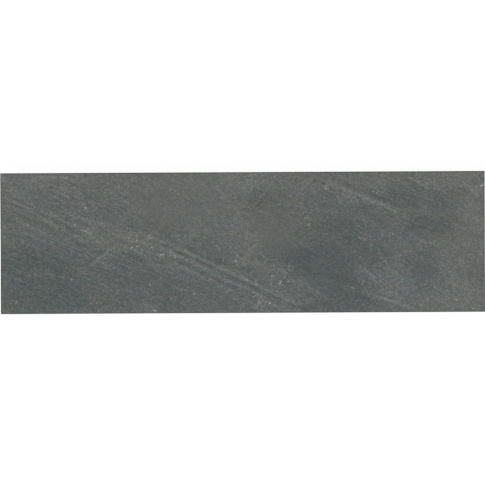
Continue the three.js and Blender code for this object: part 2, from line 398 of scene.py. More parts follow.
place = node(relief, "GeometryNodeInputPosition").outputs[0]
inner = (LENGTH / 2 - 2 * TOP_ARRIS, WIDTH / 2 - 2 * TOP_ARRIS)  # clear of the rubbed edges
above = node(relief, "ShaderNodeVectorMath", {0: place, 1: (*inner, CLEAR)}, operation="MINIMUM").outputs[0]
above = node(relief, "ShaderNodeVectorMath", {0: above, 1: (-inner[0], -inner[1], CLEAR)},
             operation="MAXIMUM").outputs[0]
packed = node(relief, "GeometryNodeObjectInfo", {"Object": given["Cleavage"]}, transform_space="RELATIVE")
ray = node(relief, "GeometryNodeRaycast", {
    "Target Geometry": packed.outputs["Geometry"], "Source Position": above,
    "Ray Direction": (0, 0, -1), "Ray Length": 2 * CLEAR,
})
met = node(relief, "ShaderNodeSeparateXYZ", {0: ray.outputs["Hit Position"]}).outputs["Z"]
height = node(relief, "ShaderNodeMath", {0: met, 1: THICKNESS}, operation="SUBTRACT").outputs[0]
smooth = node(relief, "GeometryNodeBlurAttribute", {"Value": height, "Iterations": FACET_BLUR}).outputs[0]
broad = node(relief, "GeometryNodeBlurAttribute", {"Value": height, "Iterations": HOLLOW_BLUR}).outputs[0]
crest = node(relief, "ShaderNodeMath", {0: smooth, 1: broad}, operation="SUBTRACT").outputs[0]
print(f"rays fall on {2 * inner[0] / MM:.1f} x {2 * inner[1] / MM:.1f} mm of the packed slab")

# %% Relief tree: noise drawn out along the grain
NOISE_MEAN = 0.5  # what a noise texture gives on average
NOISE_MEANS = (NOISE_MEAN,) * 3  # the same for its colour
grained = node(relief, "ShaderNodeVectorRotate", {"Vector": place, "Angle": -GRAIN_TURN},
               rotation_type="Z_AXIS").outputs[0]


def split_noise(along, across, seed, detail):
    """Noise drawn out along the grain: a number and a colour, both 0.5 on average."""
    size = node(relief, "ShaderNodeCombineXYZ", {0: along, 1: across, 2: along}).outputs[0]
    where = node(relief, "ShaderNodeVectorMath", {0: grained, 1: size}, operation="DIVIDE").outputs[0]
    turn = node(relief, "ShaderNodeMath", {0: given["Seed"], 1: seed}, operation="ADD").outputs[0]
    return node(relief, "ShaderNodeTexNoise", {"Vector": where, "W": turn, "Scale": 1.0, "Detail": detail},
                noise_dimensions="4D").outputs


print(f"grain at {math.degrees(GRAIN_TURN):.1f} degrees, {RELIEF_SIZES['Grain width'] / MM:.1f} mm wide")

# %% Relief tree: streaks and flecks
# The routes are smooth, so each point is nudged by noise before its distance is measured, and edges fray.
NOISE_SPAN = (0.3, 0.7)  # most of a noise lies between these
RUBBING = (0.5, 1.3)  # the least and the most of a streak that shows
nudge = split_noise(given["Grain length"], given["Grain width"], seed=4.0, detail=2.0)[1]
nudge = node(relief, "ShaderNodeVectorMath", {0: nudge, 1: NOISE_MEANS}, operation="SUBTRACT").outputs[0]
nudge = node(relief, "ShaderNodeVectorMath", {0: nudge, "Scale": given["Fray"]},
             operation="SCALE").outputs[0]
nudged = node(relief, "ShaderNodeVectorMath", {0: place, 1: nudge}, operation="ADD").outputs[0]
nudged = node(relief, "ShaderNodeVectorMath", {0: nudged, 1: (1, 1, 0)}, operation="MULTIPLY").outputs[0]
worn_and_shaded = split_noise(given["Grain length"], given["Grain width"], seed=5.0, detail=2.0)[0]
worn_and_shaded = node(relief, "ShaderNodeMapRange", {
    "Value": worn_and_shaded, "From Min": NOISE_SPAN[0], "From Max": NOISE_SPAN[1],
    "To Min": RUBBING[0], "To Max": RUBBING[1],
}).outputs[0]
total, marks = smooth, {}
for name, size in (("Streaks", "Streak height"), ("Flecks", "Fleck height")):
    lines = node(relief, "GeometryNodeObjectInfo", {"Object": given[name]}, transform_space="RELATIVE")
    lines = lines.outputs["Geometry"]
    away = node(relief, "GeometryNodeProximity", {0: lines, "Sample Position": nudged},
                target_element="EDGES").outputs["Distance"]
    nearest = node(relief, "GeometryNodeSampleNearest", {"Geometry": lines, "Sample Position": nudged},
                   domain="EDGE").outputs[0]
    noted = {}
    for note in ("mark", "reach"):
        value = node(relief, "GeometryNodeInputNamedAttribute", {"Name": note}, data_type="FLOAT").outputs[0]
        noted[note] = node(relief, "GeometryNodeSampleIndex", {
            "Geometry": lines, "Value": value, "Index": nearest,
        }, data_type="FLOAT", domain="EDGE").outputs[0]
    marks[name] = node(relief, "ShaderNodeMapRange", {
        "Value": away, "From Min": 0.0, "From Max": noted["reach"], "To Min": noted["mark"], "To Max": 0.0,
    }, interpolation_type="SMOOTHSTEP").outputs[0]
    total = node(relief, "ShaderNodeMath", {0: marks[name], 1: given[size], 2: total},
                 operation="MULTIPLY_ADD").outputs[0]
# The streaks' marks: pale scuffs, and dark lines that are partly painted shade.
scuff = node(relief, "ShaderNodeMath", {0: marks["Streaks"], 1: worn_and_shaded}, operation="MULTIPLY").outputs[0]
print("with", " and ".join(marks).lower(), "the tree has", len(relief.nodes), "nodes")

# %% Relief tree: grain, ledges and pits
# A ledge climbs slowly and drops at once, like the sheets of a split book.
LEDGE_BRINK = 0.86  # the share of its width at which it starts to drop
PIT_NOISE = (0.45, 0.2)  # a pit starts at the first value of its noise, and is deepest at the second
fine = split_noise(given["Grain length"], given["Grain width"], seed=1.0, detail=3.0)[0]
fine = node(relief, "ShaderNodeMath", {0: fine, 1: NOISE_MEAN}, operation="SUBTRACT").outputs[0]
total = node(relief, "ShaderNodeMath", {0: fine, 1: given["Grain height"], 2: total},
             operation="MULTIPLY_ADD").outputs[0]

sheets = split_noise(given["Ledge length"], given["Ledge width"], seed=2.0, detail=2.0)[0]
sheets = node(relief, "ShaderNodeMath", {0: sheets, 1: given["Ledge steps"]},
              operation="MULTIPLY").outputs[0]
climb = node(relief, "ShaderNodeMath", {0: sheets}, operation="FRACT").outputs[0]
drop = node(relief, "ShaderNodeMapRange", {"Value": climb, "From Min": LEDGE_BRINK, "From Max": 1.0},
            interpolation_type="SMOOTHSTEP").outputs[0]
ledge = node(relief, "ShaderNodeMath", {0: climb, 1: drop}, operation="SUBTRACT").outputs[0]
total = node(relief, "ShaderNodeMath", {0: ledge, 1: given["Ledge height"], 2: total},
             operation="MULTIPLY_ADD").outputs[0]

pits = split_noise(given["Pit width"], given["Pit width"], seed=3.0, detail=1.0)[0]
pits = node(relief, "ShaderNodeMapRange", {
    "Value": pits, "From Min": PIT_NOISE[0], "From Max": PIT_NOISE[1],
}).outputs[0]
pits = node(relief, "ShaderNodeMath", {0: pits, 1: given["Pit depth"]}, operation="MULTIPLY").outputs[0]
total = node(relief, "ShaderNodeMath", {0: total, 1: pits}, operation="SUBTRACT").outputs[0]

follows = node(relief, "GeometryNodeInputNamedAttribute", {"Name": "follows"}, data_type="FLOAT").outputs[0]
rise = node(relief, "ShaderNodeMath", {0: total, 1: follows}, operation="MULTIPLY").outputs[0]
print("with grain, ledges and pits it has", len(relief.nodes), "nodes")

# %% Relief tree: saw lines and wheel marks
UNDERSIDE = UNDER_ARRIS / 10  # points below this height are ground
walls = node(relief, "GeometryNodeInputNamedAttribute", {"Name": "wall"}, data_type="FLOAT").outputs[0]
layer = node(relief, "ShaderNodeCombineXYZ", {
    0: given["Lamina length"], 1: given["Lamina length"], 2: given["Lamina thickness"],
}).outputs[0]
layer = node(relief, "ShaderNodeVectorMath", {0: place, 1: layer}, operation="DIVIDE").outputs[0]
layer = node(relief, "ShaderNodeTexNoise", {
    "Vector": layer, "W": given["Seed"], "Scale": 1.0, "Detail": 2.0,
}, noise_dimensions="4D").outputs[0]
inward = node(relief, "ShaderNodeMath", {0: layer, 1: given["Lamina depth"]},
              operation="MULTIPLY").outputs[0]
inward = node(relief, "ShaderNodeMath", {0: inward, 1: walls}, operation="MULTIPLY").outputs[0]
normal = node(relief, "GeometryNodeInputNormal").outputs[0]
level = node(relief, "ShaderNodeVectorMath", {0: normal, 1: (-1, -1, 0)}, operation="MULTIPLY").outputs[0]
cut = node(relief, "ShaderNodeVectorMath", {0: level, "Scale": inward}, operation="SCALE").outputs[0]

apart = node(relief, "ShaderNodeSeparateXYZ", {0: place}).outputs
passes = node(relief, "ShaderNodeMath", {0: apart["Y"], 1: given["Wheel mark width"]},
              operation="DIVIDE").outputs[0]
wheel = node(relief, "ShaderNodeTexNoise", {"W": passes, "Scale": 1.0, "Detail": 1.0},
             noise_dimensions="1D").outputs[0]
wheel = node(relief, "ShaderNodeMath", {0: wheel, 1: given["Wheel mark depth"]},
             operation="MULTIPLY").outputs[0]
under = node(relief, "ShaderNodeMath", {0: apart["Z"], 1: UNDERSIDE}, operation="LESS_THAN").outputs[0]
wheel = node(relief, "ShaderNodeMath", {0: wheel, 1: under}, operation="MULTIPLY").outputs[0]
lift = node(relief, "ShaderNodeMath", {0: rise, 1: wheel}, operation="ADD").outputs[0]
lift = node(relief, "ShaderNodeCombineXYZ", {"Z": lift}).outputs[0]
offset = node(relief, "ShaderNodeVectorMath", {0: lift, 1: cut}, operation="ADD").outputs[0]
print("with saw lines and wheel marks it has", len(relief.nodes), "nodes")

# %% Relief tree: the finished stone
stone = given["Blank"]
for name, value in (("crest", crest), ("scuff", scuff), ("fleck", marks["Flecks"])):
    stone = node(relief, "GeometryNodeStoreNamedAttribute", {
        "Geometry": stone, "Name": name, "Value": value,
    }, data_type="FLOAT", domain="POINT").outputs[0]
stone = node(relief, "GeometryNodeSetPosition", {"Geometry": stone, "Offset": offset}).outputs[0]
stone = node(relief, "GeometryNodeRealizeInstances", {"Geometry": stone}).outputs[0]
kind = node(relief, "GeometryNodeInputNamedAttribute", {"Name": "finish"}, data_type="INT").outputs[0]
for number, name in ((RIVEN, "Riven finish"), (SAWN, "Sawn finish"), (GROUND, "Ground finish")):
    chosen = node(relief, "FunctionNodeCompare", {2: kind, 3: number}, data_type="INT",
                  operation="EQUAL").outputs[0]
    stone = node(relief, "GeometryNodeSetMaterial", {
        "Geometry": stone, "Selection": chosen, "Material": given[name],
    }).outputs[0]
node(relief, "NodeGroupOutput", {"Geometry": stone})
print("whole, it has", len(relief.nodes), "nodes")

# %% [markdown]
# ## Riven slate, the top
# Slate is clay pressed to stone: a matt, dry ground of deep teal grey, dusted with flat grains that are
# paler and warmer. Where a flake came away few of them are left, and planes that lay open longer are full
# of them. So one number, counted in photographic stops, says how pale the stone is at a point, and raises
# one tint to that power. Stains, grains, crests, streaks and flecks only add to it. A second number warms
# the hue a little. Mixing a dark and a pale colour would do for one kind of mark. Stops add up where several
# kinds meet.

# %% Stain group, a soft oval
STAIN_CORE = 0.35  # share of a stain's reach that has its full strength
stain = bpy.data.node_groups.new("stain", "ShaderNodeTree")
for name, kind in (("Place", "Vector"), ("Middle", "Vector"), ("Size", "Vector"), ("Turn", "Float")):
    stain.interface.new_socket(name, in_out="INPUT", socket_type="NodeSocket" + kind)
stain.interface.new_socket("Share", in_out="OUTPUT", socket_type="NodeSocketFloat")
asked = node(stain, "NodeGroupInput").outputs
turned = node(stain, "ShaderNodeVectorRotate", {
    "Vector": asked["Place"], "Center": asked["Middle"], "Angle": asked["Turn"],
}, rotation_type="Z_AXIS", invert=True).outputs[0]
off = node(stain, "ShaderNodeVectorMath", {0: turned, 1: asked["Middle"]}, operation="SUBTRACT").outputs[0]
off = node(stain, "ShaderNodeVectorMath", {0: off, 1: asked["Size"]}, operation="DIVIDE").outputs[0]
away = node(stain, "ShaderNodeVectorMath", {0: off}, operation="LENGTH").outputs["Value"]
share = node(stain, "ShaderNodeMapRange", {
    "Value": away, "From Min": STAIN_CORE, "From Max": 1.0, "To Min": 1.0, "To Max": 0.0,
}, interpolation_type="SMOOTHSTEP").outputs[0]
node(stain, "NodeGroupOutput", {"Share": share})
print("stain group takes", [socket.name for socket in asked if socket.name])

# %% Where the stains lie
# Stops paler, middle x and y, half length, half width (mm), turn in degrees
STAINS = [
    # fresh flake scars at the lower left
    (-0.21, -262, -50, 104, 74, -5),
    (-0.07, -245, -27, 44, 18, -10),
    (-0.06, -216, -62, 40, 22, -15),
    (0.08, -205, -41, 34, 16, -10),
    (-0.12, -140, -55, 105, 46, -6),
    (-0.05, -143, -19, 26, 12, -25),
    (-0.05, -166, -22, 14, 12, 0),
    # the darkest scar, right of the middle
    (-0.23, 102, -29, 62, 35, -14),
    (-0.11, 136, -4, 18, 24, 30),
    (-0.08, 60, -33, 20, 14, -30),
    (-0.06, 78, 8, 18, 14, 0),
    (-0.12, 122, 18, 46, 34, 28),
    (-0.19, 130, -70, 46, 32, -12),
    (-0.13, 95, -83, 28, 14, 0),
    (-0.07, 60, -14, 36, 20, -10),
    # scars at the right
    (-0.13, 160, -12, 24, 24, 10),
    (-0.14, 228, 18, 44, 20, -8),
    (-0.13, 202, 54, 30, 20, -22),
    (-0.12, 247, 50, 30, 22, 0),
    (-0.07, 164, 36, 40, 18, -10),
    (-0.09, 222, -33, 26, 26, 0),
    (0.06, 194, -14, 20, 16, 0),
    (0.06, 262, 25, 14, 14, 0),
    # pale planes at the lower right
    (0.13, 188, -50, 34, 32, -15),
    (0.08, 220, -74, 22, 18, 0),
    (0.15, 262, -30, 34, 28, 0),
    (0.18, 268, -68, 54, 30, 0),
    (-0.06, 252, -55, 14, 22, 0),
    (0.07, 240, 2, 60, 20, 0),
    (0.13, 290, 8, 26, 40, 0),
    (0.05, 294, -30, 20, 20, 0),
    # the warm upper edge
    (0.12, -280, 84, 60, 30, 0),
    (0.12, -220, 86, 60, 28, 0),
    (0.05, -130, 80, 60, 40, 0),
    (0.06, -170, 82, 18, 12, 0),
    (0.10, -60, 80, 60, 30, 0),
    (0.19, 10, 79, 50, 28, 0),
    (0.10, 80, 80, 60, 30, 0),
    (0.08, 160, 84, 60, 24, 0),
    (0.15, 250, 80, 46, 22, 0),
    (0.13, 288, 48, 24, 36, 0),
    (0.08, 296, 70, 24, 18, -15),
    (0.08, 276, 84, 22, 12, 0),
    (0.10, 290, 84, 18, 12, 0),
    # planes in the middle
    (0.09, -150, 3, 46, 18, -10),
    (-0.07, -92, 16, 34, 18, -15),
    (-0.07, -84, -20, 44, 11, -24),
    (0.04, -130, 36, 16, 14, 0),
    (0.06, -85, -48, 20, 12, 0),
    (0.10, -193, 17, 20, 14, -15),
    (-0.07, -186, -9, 26, 12, -10),
    (-0.02, -165, 36, 46, 24, -20),
    (-0.05, -230, 22, 50, 20, -15),
    (-0.05, -272, 42, 24, 12, -20),
    (0.03, -278, 8, 40, 12, 0),
    (0.06, -40, 40, 90, 50, 0),
    (0.09, 2, 3, 36, 34, 0),
    (-0.05, 44, -10, 22, 16, 0),
    (-0.13, 14, 53, 32, 18, -12),
    (0.05, 62, 53, 26, 14, 0),
    (0.09, -6, 51, 18, 16, 0),
    # Painted shade, in part: this one darkens the band beside the long pale sheaf.
    (-0.07, -44, -14, 36, 14, -24),
    (0.02, 38, -48, 46, 24, -20),
    (-0.07, 94, -63, 24, 20, 0),
    (0.07, 28, -76, 46, 24, 0),
    (-0.07, -55, -82, 80, 14, 0),
    (-0.05, -186, -78, 30, 12, 0),
    (0.06, -122, -80, 26, 16, -20),
    (0.04, -112, -34, 24, 14, 0),
    (-0.06, -92, -64, 36, 20, -20),
    (-0.04, -10, -55, 120, 40, -10),
    (0.05, 190, 55, 130, 50, 0),
]
print(len(STAINS), "stains")

# %% Where the stone blushes
# The same rows for how much warmer the hue is
BLUSHES = [
    (0.024, -150, 84, 190, 30, 0),
    (0.024, 160, 84, 170, 24, 0),
    (0.024, -112, 42, 40, 48, -20),
    (-0.012, -150, 53, 16, 18, 0),
    (0.022, -150, 3, 46, 18, -10),
    (0.012, 6, 0, 36, 30, 0),
    (0.028, 46, 30, 46, 36, -20),
    (0.030, 296, -15, 30, 90, 0),
    (0.032, 298, -30, 16, 26, 0),
    (0.020, 298, -78, 14, 18, 0),
    (-0.006, -60, -40, 80, 24, -24),
    (-0.014, 45, -46, 46, 18, 0),
    (-0.012, 100, -34, 26, 16, 0),
    (-0.012, 185, 8, 46, 30, 0),
    (-0.014, 130, -10, 16, 14, 0),
    (-0.010, 158, -56, 20, 16, 0),
    (-0.014, -85, -5, 20, 18, 0),
    (-0.016, 186, -50, 40, 34, -15),
    (-0.016, 222, -45, 40, 36, 0),
    (0.014, -180, -64, 30, 22, 0),
    (0.022, -6, 42, 26, 22, 0),
    (0.014, 36, 10, 22, 16, 0),
    (0.010, -45, -5, 18, 30, 0),
    (0.012, 75, -8, 20, 12, 0),
    (0.014, -232, 30, 34, 14, -10),
    (0.014, -122, 26, 16, 16, 0),
    (0.014, -294, 25, 22, 60, 0),
    (0.020, -296, -80, 16, 14, 0),
    (0.018, 272, 80, 34, 12, 0),
    (0.012, 264, 20, 14, 22, 0),
    (0.012, 186, 70, 18, 12, 0),
    (0.014, 250, -82, 18, 10, 0),
    (-0.012, -246, -33, 18, 14, 0),
    (-0.012, 85, 44, 14, 24, 0),
    (-0.010, 105, -46, 30, 18, 0),
]
print(len(BLUSHES), "blushes")

# %% Riven slate: stone and stains
STAIN_STOPS = 1.45  # how far the lists' stops are stretched
STAIN_LOBE = 30 * MM  # size of the lobes along a stain's outline


def new_finish(name, **settings):
    """A material with a Principled shader, whose plain values are settings, and its tree."""
    material = bpy.data.materials.new(name)
    material.use_nodes = True
    tree = material.node_tree
    tree.nodes.clear()
    values = {key.replace("_", " "): value for key, value in settings.items()}
    shader = node(tree, "ShaderNodeBsdfPrincipled", values)
    node(tree, "ShaderNodeOutputMaterial", {"Surface": shader.outputs[0]})
    return material, tree, shader


def spread(rows, total):
    """A total, and on it the strengths of the soft ovals in rows."""
    for strength, x, y, half_length, half_width, turn in rows:
        share = node(tree, "ShaderNodeGroup", {
            "Place": flat, "Middle": (x * MM, y * MM, 0), "Turn": math.radians(turn),
            "Size": (half_length * MM, half_width * MM, 1),
        }, node_tree=stain).outputs[0]
        total = node(tree, "ShaderNodeMath", {0: share, 1: strength, 2: total},
                     operation="MULTIPLY_ADD").outputs[0]
    return total


riven_slate, tree, shader = new_finish("riven_slate", IOR=1.5, Specular_IOR_Level=0.3)
place = node(tree, "ShaderNodeTexCoord").outputs["Object"]
sway = node(tree, "ShaderNodeTexNoise", {"Vector": place, "Scale": 1 / STAIN_LOBE, "Detail": 4.0}).outputs[1]
sway = node(tree, "ShaderNodeVectorMath", {0: sway, 1: NOISE_MEANS}, operation="SUBTRACT").outputs[0]
frayed = node(tree, "ShaderNodeVectorMath", {0: sway, 1: (STAIN_LOBE, STAIN_LOBE, 0), 2: place},
              operation="MULTIPLY_ADD").outputs[0]
flat = node(tree, "ShaderNodeVectorMath", {0: frayed, 1: (1, 1, 0)}, operation="MULTIPLY").outputs[0]
marked = spread(STAINS, 0.0)
marked = node(tree, "ShaderNodeMath", {0: marked, 1: STAIN_STOPS}, operation="MULTIPLY").outputs[0]
warm = spread(BLUSHES, 0.0)
print("with its stains, riven slate has", len(tree.nodes), "nodes")

# %% Riven slate: where the grain shows as lines, and where it lies calm
# The same rows for how strongly lines show, and for how much livelier the grain is than elsewhere
LINED_ELSEWHERE = 0.25
LINED = [
    (0.65, -215, 10, 170, 130, 0),
    (0.7, -20, -50, 150, 60, -24),
    (0.4, -150, -45, 90, 40, 0),
    (0.5, 180, 45, 120, 60, -20),
]
LIVELY_ELSEWHERE = 1.0
LIVELY = [
    (-0.30, -75, 52, 90, 50, 0),
    (-0.45, 45, 12, 54, 36, -20),
    (-0.20, 112, -34, 60, 40, 0),
    (0.10, -262, -50, 70, 50, 0),
    (-0.12, 288, 20, 44, 90, 0),
    (-0.30, -40, -78, 44, 20, 0),
]
lined = spread(LINED, LINED_ELSEWHERE)
lively = spread(LIVELY, LIVELY_ELSEWHERE)
print(len(LINED), "lined places,", len(LIVELY), "calm or lively ones")

# %% Riven slate: flakes
# The smallest flakes are cells, each flat in tone. Squaring a cell's random number leaves few of them pale.
# Real ones are finer. These are drawn about as wide as a pixel of the photograph, so that they show.
FLAKE = (1.4, 1.1)  # mm
FLAKE_STOPS = 0.85
FLAKE_MEAN = 1 / 3  # of a squared random number
at = node(tree, "ShaderNodeMapping", {
    "Vector": place, "Rotation": (0, 0, GRAIN_TURN), "Scale": (FLAKE[0] * MM, FLAKE[1] * MM, FLAKE[0] * MM),
}, vector_type="TEXTURE").outputs[0]
flake = node(tree, "ShaderNodeTexVoronoi", {"Vector": at, "Scale": 1.0}).outputs["Color"]
flake = node(tree, "ShaderNodeSeparateXYZ", {0: flake}).outputs[0]
flake = node(tree, "ShaderNodeMath", {0: flake, 1: 2.0}, operation="POWER").outputs[0]
flakes_and_edge_shade = node(tree, "ShaderNodeMath", {0: flake, 1: FLAKE_MEAN}, operation="SUBTRACT").outputs[0]
flakes_and_edge_shade = node(tree, "ShaderNodeMath", {0: flakes_and_edge_shade, 1: FLAKE_STOPS}, operation="MULTIPLY").outputs[0]
flakes_and_edge_shade = node(tree, "ShaderNodeMath", {0: flakes_and_edge_shade, 1: lively}, operation="MULTIPLY").outputs[0]
print("flakes of", FLAKE, "mm")


# %% Riven slate: grains and hues
def grain_noise(along, across, seed, detail=1.0):
    """Noise drawn out along the grain, in mm: a number and a colour, both 0.5 on average."""
    at = node(tree, "ShaderNodeMapping", {
        "Vector": place, "Rotation": (0, 0, GRAIN_TURN), "Scale": (along * MM, across * MM, along * MM),
    }, vector_type="TEXTURE").outputs[0]
    return node(tree, "ShaderNodeTexNoise", {"Vector": at, "W": seed, "Scale": 1.0, "Detail": detail},
                noise_dimensions="4D").outputs


# Length and width of a grain (mm), stops it varies by, how much warmer it is, whether it makes lines
GRAINS = [
    (3.2, 2.0, 0.70, 0.010, False),
    (9.0, 5.0, 0.48, 0.025, False),
    (32.0, 20.0, 0.05, 0.010, False),
    (12.0, 1.4, 0.70, 0.010, True),
    (30.0, 2.0, 0.85, 0.010, True),
    (45.0, 4.6, 0.30, 0.010, True),
]
# Length and width of a patch of hue (mm), and how far its red and blue, then its green, stray
HUES = [
    (3.0, 2.1, 0.18, 0.14),
    (7.0, 4.5, 0.24, 0.11),
    (22.0, 13.0, 0.09, 0.035),
]
grains, hue = 0.0, (1.0, 1.0, 1.0)
for seed, (along, across, stops, warmer, lines) in enumerate(GRAINS):
    shift = grain_noise(along, across, seed)[0]
    shift = node(tree, "ShaderNodeMath", {0: shift, 1: NOISE_MEAN}, operation="SUBTRACT").outputs[0]
    if lines:
        shift = node(tree, "ShaderNodeMath", {0: shift, 1: lined}, operation="MULTIPLY").outputs[0]
    grains = node(tree, "ShaderNodeMath", {0: shift, 1: stops, 2: grains},
                  operation="MULTIPLY_ADD").outputs[0]
    warm = node(tree, "ShaderNodeMath", {0: shift, 1: warmer, 2: warm}, operation="MULTIPLY_ADD").outputs[0]
widest_lines = shift
for seed, (along, across, stray, green) in enumerate(HUES, len(GRAINS)):
    blush = grain_noise(along, across, seed)[1]
    blush = node(tree, "ShaderNodeVectorMath", {0: blush, 1: NOISE_MEANS}, operation="SUBTRACT").outputs[0]
    hue = node(tree, "ShaderNodeVectorMath", {0: blush, 1: (stray, green, stray), 2: hue},
               operation="MULTIPLY_ADD").outputs[0]
marked = node(tree, "ShaderNodeMath", {0: grains, 1: lively, 2: marked},
              operation="MULTIPLY_ADD").outputs[0]
print(len(GRAINS), "sizes of grain,", len(HUES), "of hue")

# %% Riven slate: crests, streaks, flecks, and painted shade beside the ridges and at the edge
WEAR_AND_SHADE = {"crest": 200.0, "scuff": 0.66}  # stops for each metre of crest, and for a full streak
EDGE_SHADE_STOPS = -0.7  # stops
FLECK_STOPS = 1.6  # a fleck lights up the palest of the flakes it covers
FLECK_RIM = (0.15, 1.1)  # between these marks it rises to its full stops
for name, stops in WEAR_AND_SHADE.items():
    wear_and_shade = node(tree, "ShaderNodeAttribute", attribute_name=name).outputs["Fac"]
    marked = node(tree, "ShaderNodeMath", {0: wear_and_shade, 1: stops, 2: marked},
                  operation="MULTIPLY_ADD").outputs[0]
fleck = node(tree, "ShaderNodeAttribute", attribute_name="fleck").outputs["Fac"]
fleck = node(tree, "ShaderNodeMath", {0: fleck, 1: flake}, operation="MULTIPLY").outputs[0]
fleck = node(tree, "ShaderNodeMapRange", {
    "Value": fleck, "From Min": FLECK_RIM[0], "From Max": FLECK_RIM[1], "To Max": FLECK_STOPS,
}).outputs[0]
marked = node(tree, "ShaderNodeMath", {0: marked, 1: fleck}, operation="ADD").outputs[0]
# Below zero the stops darken: stains and scars, and the painted shade of the dark lines beside the ridges.
scars_and_shade = node(tree, "ShaderNodeMath", {0: marked, 1: 0.0}, operation="MINIMUM").outputs[0]
dust = node(tree, "ShaderNodeMath", {0: marked, 1: 0.0}, operation="MAXIMUM").outputs[0]
# Painted shade: the rounded edge and the rim of the top are darkened, carried on the flakes' stops.
edge = node(tree, "ShaderNodeAttribute", attribute_name="rubbed").outputs["Fac"]
flakes_and_edge_shade = node(tree, "ShaderNodeMath", {0: edge, 1: EDGE_SHADE_STOPS, 2: flakes_and_edge_shade}, operation="MULTIPLY_ADD").outputs[0]
print("a full streak is", WEAR_AND_SHADE["scuff"], "stops paler, the rubbed edge", -EDGE_SHADE_STOPS, "stops darker")

# %% Riven slate: the colour
STONE = "#626664"
SCAR_AND_SHADE_TINT = (2.33, 1.87, 1.83)  # a stop darker divides the stone's red, green and blue by these
DUST_TINT = (2.08, 1.955, 1.945)  # a stop paler multiplies them by these
FLAKE_AND_EDGE_SHADE_TINT = (2.0, 2.0, 2.0)  # a flake is only lighter or darker
WARMER = (1.0, 0.0, -1.0)  # more red, less blue


def linear(colour):
    """An sRGB hex colour as linear RGBA, which is what Blender counts in."""
    shares = [int(colour[i : i + 2], 16) / 255 for i in (1, 3, 5)]
    return (*[s / 12.92 if s <= 0.04045 else ((s + 0.055) / 1.055) ** 2.4 for s in shares], 1.0)


warmth = node(tree, "ShaderNodeVectorMath", {0: WARMER, "Scale": warm}, operation="SCALE").outputs[0]
colour = node(tree, "ShaderNodeVectorMath", {0: hue, 1: warmth}, operation="ADD").outputs[0]
colour = node(tree, "ShaderNodeVectorMath", {0: colour, 1: linear(STONE)[:3]},
              operation="MULTIPLY").outputs[0]
for tint, stops in ((SCAR_AND_SHADE_TINT, scars_and_shade), (DUST_TINT, dust), (FLAKE_AND_EDGE_SHADE_TINT, flakes_and_edge_shade)):
    layer = node(tree, "ShaderNodeGamma", {"Color": (*tint, 1.0), "Gamma": stops}).outputs[0]
    colour = node(tree, "ShaderNodeVectorMath", {0: layer, 1: colour}, operation="MULTIPLY").outputs[0]
print(STONE, "is", [round(share, 3) for share in linear(STONE)[:3]], "in linear light")

# %% Riven slate: specks
# Pale quartz and painted glints of mica gather in places. The same rows say what share of the cells holds a
# speck.
QUARTZ_AND_GLINT = "#a0a19d"
GLINTS_ELSEWHERE = 0.010
GLINTS = [
    (0.15, -195, 20, 40, 26, -20),
    (0.30, -135, -5, 40, 18, -15),
    (0.12, -75, -24, 60, 20, -24),
    (0.15, 10, -20, 40, 20, -24),
    (0.20, 40, -42, 36, 26, -20),
    (0.25, 18, -74, 22, 16, 0),
    (0.15, 152, -34, 30, 26, -40),
    (0.15, 165, 12, 46, 30, 0),
    (0.08, 230, -60, 90, 40, 0),
    (0.15, -178, -72, 36, 20, 0),
]
SPECK_SPACING = 3.2  # mm
SPECK_WIDTH = 2.2  # mm, the largest
SPECK_RIM = 0.15  # share of the spacing over which a speck fades
chance = spread(GLINTS, GLINTS_ELSEWHERE)
cells = node(tree, "ShaderNodeTexVoronoi", {"Vector": place, "Scale": 1 / (SPECK_SPACING * MM)},
             voronoi_dimensions="2D").outputs
luck = node(tree, "ShaderNodeSeparateXYZ", {0: cells["Color"]}).outputs
size = node(tree, "ShaderNodeMapRange", {
    "Value": luck[0], "From Min": chance, "From Max": 0.0, "To Max": SPECK_WIDTH / 2 / SPECK_SPACING,
}).outputs[0]
inside = node(tree, "ShaderNodeMath", {0: size, 1: cells["Distance"]}, operation="SUBTRACT").outputs[0]
speck = node(tree, "ShaderNodeMapRange", {
    "Value": inside, "From Max": SPECK_RIM, "To Max": luck[1],
}).outputs[0]
colour = node(tree, "ShaderNodeMix", {0: speck, 6: colour, 7: linear(QUARTZ_AND_GLINT)}, data_type="RGBA").outputs[2]
tree.links.new(colour, shader.inputs["Base Color"])
print(len(GLINTS), "places with specks up to", SPECK_WIDTH, "mm wide")

# %% Riven slate: shine and grit
ROUGHNESS = (0.58, 0.78)  # from one side of the widest lines to the other
SHINE_SPAN = 0.3  # how far those lines stray either way
GRIT = (2.4, 1.6)  # mm
rough = node(tree, "ShaderNodeMapRange", {
    "Value": widest_lines, "From Min": -SHINE_SPAN, "From Max": SHINE_SPAN,
    "To Min": ROUGHNESS[0], "To Max": ROUGHNESS[1],
}).outputs[0]
tree.links.new(rough, shader.inputs["Roughness"])
grit = grain_noise(*GRIT, seed=0.0, detail=3.0)[0]
bump = node(tree, "ShaderNodeBump", {"Height": grit, "Strength": 0.6, "Distance": 0.3 * MM}).outputs[0]
tree.links.new(bump, shader.inputs["Normal"])
print("riven slate has", len(tree.nodes), "nodes")

# %% [markdown]
# ## Sawn and ground slate
# A diamond saw leaves the sides flat and even, a little lighter than the split face, with the laminae as
# thin lines along the slab. The wheel leaves the underside paler still, scratched lengthwise. A Wave texture
# could draw such lines, but too evenly. Noise that is stretched along the slab lets them come and go.

